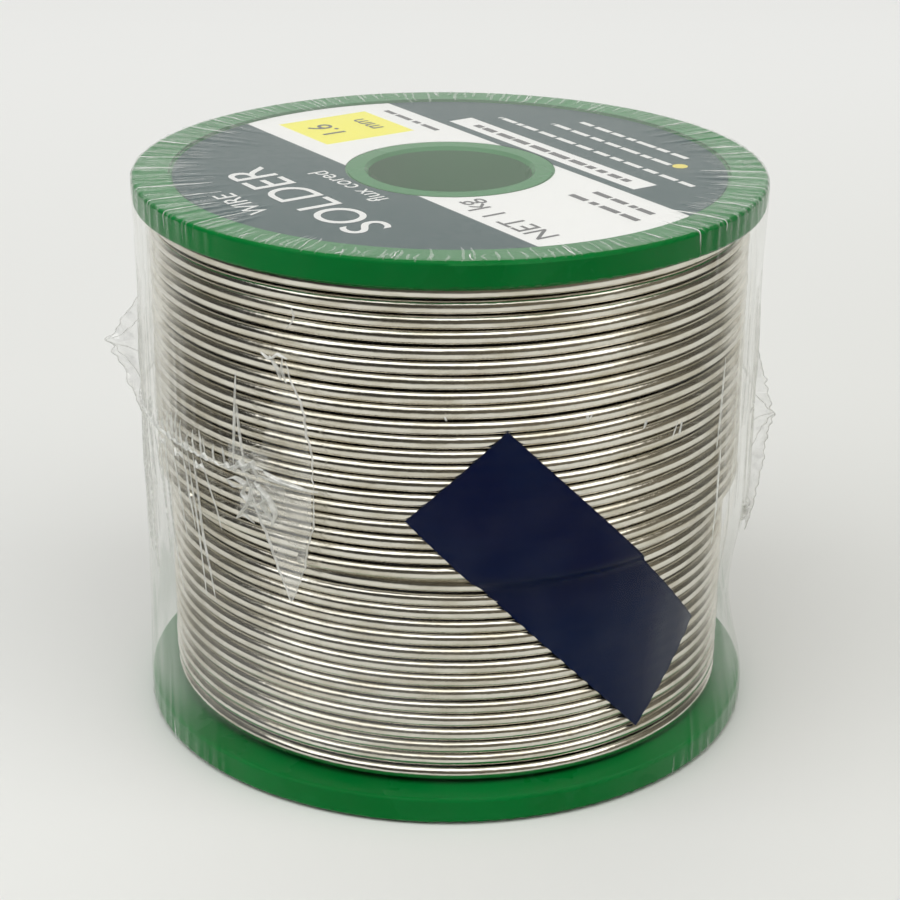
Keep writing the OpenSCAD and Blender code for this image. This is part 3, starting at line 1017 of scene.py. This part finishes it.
def lower_folds(base):
    """The sharp folds of the lower half."""
    folds = Folds(base, 72)
    rim_folds(folds, gap=5.5, thin=0.13, rise=0.10)
    seal_folds(folds, -75, -41, 1.9, (7.0, 19.0), (0.08, 0.15), lean=(-4.0, -2.2))
    seal_folds(folds, 116, 246, 7.0, (3.0, 9.0), (0.14, 0.22))
    side_fin(folds, -88, 24, SEAL_Z - 0.1, 82)
    for place in range(-63, -42, 7):
        folds.crease(place, [(-0.8, 37.9), (-0.2, 37.1), (0.4, 37.8), (1.1, 37.2)], 0.3, 0.4)
    # The lower part of the crushed bunch: a loop on the left, and folds that hang from it
    folds.crease(BUNCH_DEG, [(-3.5, 37.3), (-2.0, 38.0), (-0.3, 37.6), (-2.0, 36.9), (-3.5, 37.3)], 0.34, 0.7)
    folds.crease(BUNCH_DEG, [(0.3, 37.8), (0.1, 35.8), (-2.1, 33.1)], 0.34, 0.8)
    folds.crease(BUNCH_DEG, [(1.2, 38.0), (2.2, 36.6), (1.7, 36.0), (3.2, 33.8)], 0.36, 0.8)
    folds.crease(BUNCH_DEG, [(0.6, 38.1), (2.6, 36.9), (3.6, 35.2), (2.8, 33.4)], 0.32, 0.9)
    folds.crease(BUNCH_DEG, [(-0.4, 37.9), (-1.0, 36.4), (0.6, 35.3), (1.7, 36.0)], 0.28, 0.7)
    folds.crease(BUNCH_DEG, [(-2.1, 33.1), (-0.8, 34.0), (0.5, 33.2)], 0.22, 0.4)
    folds.star(80, 25.5, 7, 1.8, 0.8)
    folds.along_run(math.radians(56), base.run_at(27), base.run_at(SEAL_Z - 0.05), 0.22, 0.16, lean=0.9)
    folds.build("film_wrap_folds")


def build_film():
    top = FilmHalf("film_cap", 1, "film_top")
    base = FilmHalf("film_wrap", -1, "film_base")
    film_sheet(top, "film_upper")
    film_sheet(base, "film_lower")
    soft_folds(top, "film_cap", 171)
    soft_folds(base, "film_wrap", 172)
    upper_folds(top)
    lower_folds(base)
    knot(top, "film_knot_upper", 91, -36.5, 39.9, 5.6, 3.4, 0.9)
    knot(base, "film_knot_lower", 131, -34.5, 36.0, 5.0, 4.8, 0.9)
    flap(top, "film_flap_upper", -28, 52.6, 5.0, 3.1, 151, ["right"], DOUBLED)
    flap(base, "film_flap_lower", -28, 25, 5.6, 3.1, 152, ["left", "right"], HAZY)
    for half, side in ((top, "upper"), (base, "lower")):
        ear(half, "film_ear_left_" + side, -86, 33, 44, 50, 4.0, 1.7, 161)
        ear(half, "film_ear_right_" + side, 86, 21, 36, 45, 2.5, 0.8, 163)


# Stage

# The room as the camera sees it, and how far in front of the spool the pale sheet ends in reflections
SEEN_WALLS = rgb(0.81, 0.81, 0.79)
SHEET_FRONT = 0.19


def add_floor():
    """A pale sheet. In the wire's reflections it ends a little way in front, where the room is darker. For
    the camera it fades into the room, far from the spool."""
    g = Surface("pale_floor")
    cloud = g.noise(g.place, 3.0, detail=2.0)
    x, y, _ = g.axes(g.place)
    seen = g.node("ShaderNodeLightPath").outputs["Is Camera Ray"]
    beyond = g.times(g.ramp(y, -SHEET_FRONT, -SHEET_FRONT - 0.08), g.math("SUBTRACT", 1.0, seen))
    # Painted light: the sheet is lighter on the left than on the right, and lighter again far behind the
    # spool, where more of the room's light falls.
    left = g.mix(cloud, rgb(0.77, 0.775, 0.755), rgb(0.79, 0.795, 0.775))
    right = g.mix(cloud, rgb(0.75, 0.755, 0.73), rgb(0.77, 0.775, 0.75))
    pale = g.mix(g.ramp(x, -0.06, 0.10), left, right)
    pale = g.mix(g.ramp(y, 0.05, 0.40), pale, rgb(0.89, 0.895, 0.885))
    fade = g.times(g.ramp(g.distance(x, y), 0.55, 1.3), seen)
    pale = g.mix(beyond, pale, rgb(0.09, 0.085, 0.075))
    g.set(Base_Color=g.mix(fade, pale, rgb(0.0, 0.0, 0.0)), Roughness=0.6,
          Specular_IOR_Level=g.times(g.math("SUBTRACT", 1.0, fade), 0.25),
          Emission_Color=SEEN_WALLS, Emission_Strength=fade)
    size = 3.0
    mesh = bpy.data.meshes.new("floor")
    mesh.from_pydata([(-size, -size, 0), (size, -size, 0), (size, size, 0), (-size, size, 0)], [],
                     [(0, 1, 2, 3)])
    mesh.materials.append(g.material)
    floor = bpy.data.objects.new("floor", mesh)
    bpy.context.scene.collection.objects.link(floor)


def add_window(elevation, direction, distance, width, height, brightness):
    """A soft light with even brightness, facing the spool from an elevation and a direction round the
    axis."""
    data = bpy.data.lights.new("window", "AREA")
    data.shape = "RECTANGLE"
    data.size, data.size_y = width, height
    data.energy = brightness * math.pi * width * height
    light = bpy.data.objects.new("window", data)
    flat = distance * math.cos(elevation)
    light.location = (flat * math.sin(direction), -flat * math.cos(direction), distance * math.sin(elevation))
    light.rotation_mode = "QUATERNION"
    light.rotation_quaternion = (-light.location).to_track_quat("-Z", "Y")
    bpy.context.scene.collection.objects.link(light)


def add_world():
    """A room with a pale backdrop behind the spool, and dimmer walls on the camera's side."""
    world = bpy.data.worlds.new("room")
    g = Graph(world)
    x, y, z = g.axes(g.node("ShaderNodeTexCoord").outputs["Generated"])
    left_to_right = g.ramp(x, -0.7, 0.7)
    dim = g.mix(left_to_right, rgb(0.030, 0.030, 0.027), rgb(0.16, 0.142, 0.108))
    dim = g.mix(g.ramp(y, 0.0, 0.35), dim, rgb(0.050, 0.044, 0.034))
    paths = g.node("ShaderNodeLightPath").outputs
    fill = g.times(paths["Is Diffuse Ray"], g.ramp(x, 0.3, -0.4))
    dim = g.mix(fill, dim, rgb(0.42, 0.42, 0.41))
    backdrop = g.ramp(y, 0.52, 0.86)
    walls = g.mix(backdrop, dim, rgb(0.92, 0.92, 0.90))
    walls = g.mix(g.ramp(z, 0.75, 0.97), walls, rgb(0.75, 0.75, 0.74))
    background = g.node("ShaderNodeBackground")
    g.feed(background.inputs[0], g.mix(paths["Is Camera Ray"], walls, SEEN_WALLS))
    output = g.node("ShaderNodeOutputWorld")
    g.tree.links.new(background.outputs[0], output.inputs[0])
    bpy.context.scene.world = world


def add_camera():
    """The camera stands in front, looks down on the spool, and is level to half a degree."""
    distance, height = 0.2567, 0.1347
    pitch, roll, yaw = (math.radians(a) for a in (22.249, 0.470, 0.057))
    sensor_mm, lens_mm = 36.0, 92.84
    data = bpy.data.cameras.new("camera")
    data.sensor_width = sensor_mm
    data.lens = lens_mm
    data.clip_start = 0.01
    camera = bpy.data.objects.new("camera", data)
    bpy.context.scene.collection.objects.link(camera)
    camera.matrix_world = (Matrix.Translation((0, -distance, height + BASE_Z * MM))
                           @ Matrix.Rotation(-yaw, 4, "Z")
                           @ Matrix.Rotation(math.pi / 2 - pitch, 4, "X")
                           @ Matrix.Rotation(roll, 4, "Z"))
    bpy.context.scene.camera = camera


def add_stage():
    add_floor()
    add_world()
    add_window(elevation=math.radians(68), direction=0.0, distance=1.6, width=4.4, height=1.35,
               brightness=1.85)
    add_camera()
    scene = bpy.context.scene
    scene.view_settings.view_transform = "Standard"
    scene.cycles.transparent_max_bounces = 24


paint_cad_nodes()
build_wire()
build_tape()
build_label()
print_label()
build_film()
add_stage()
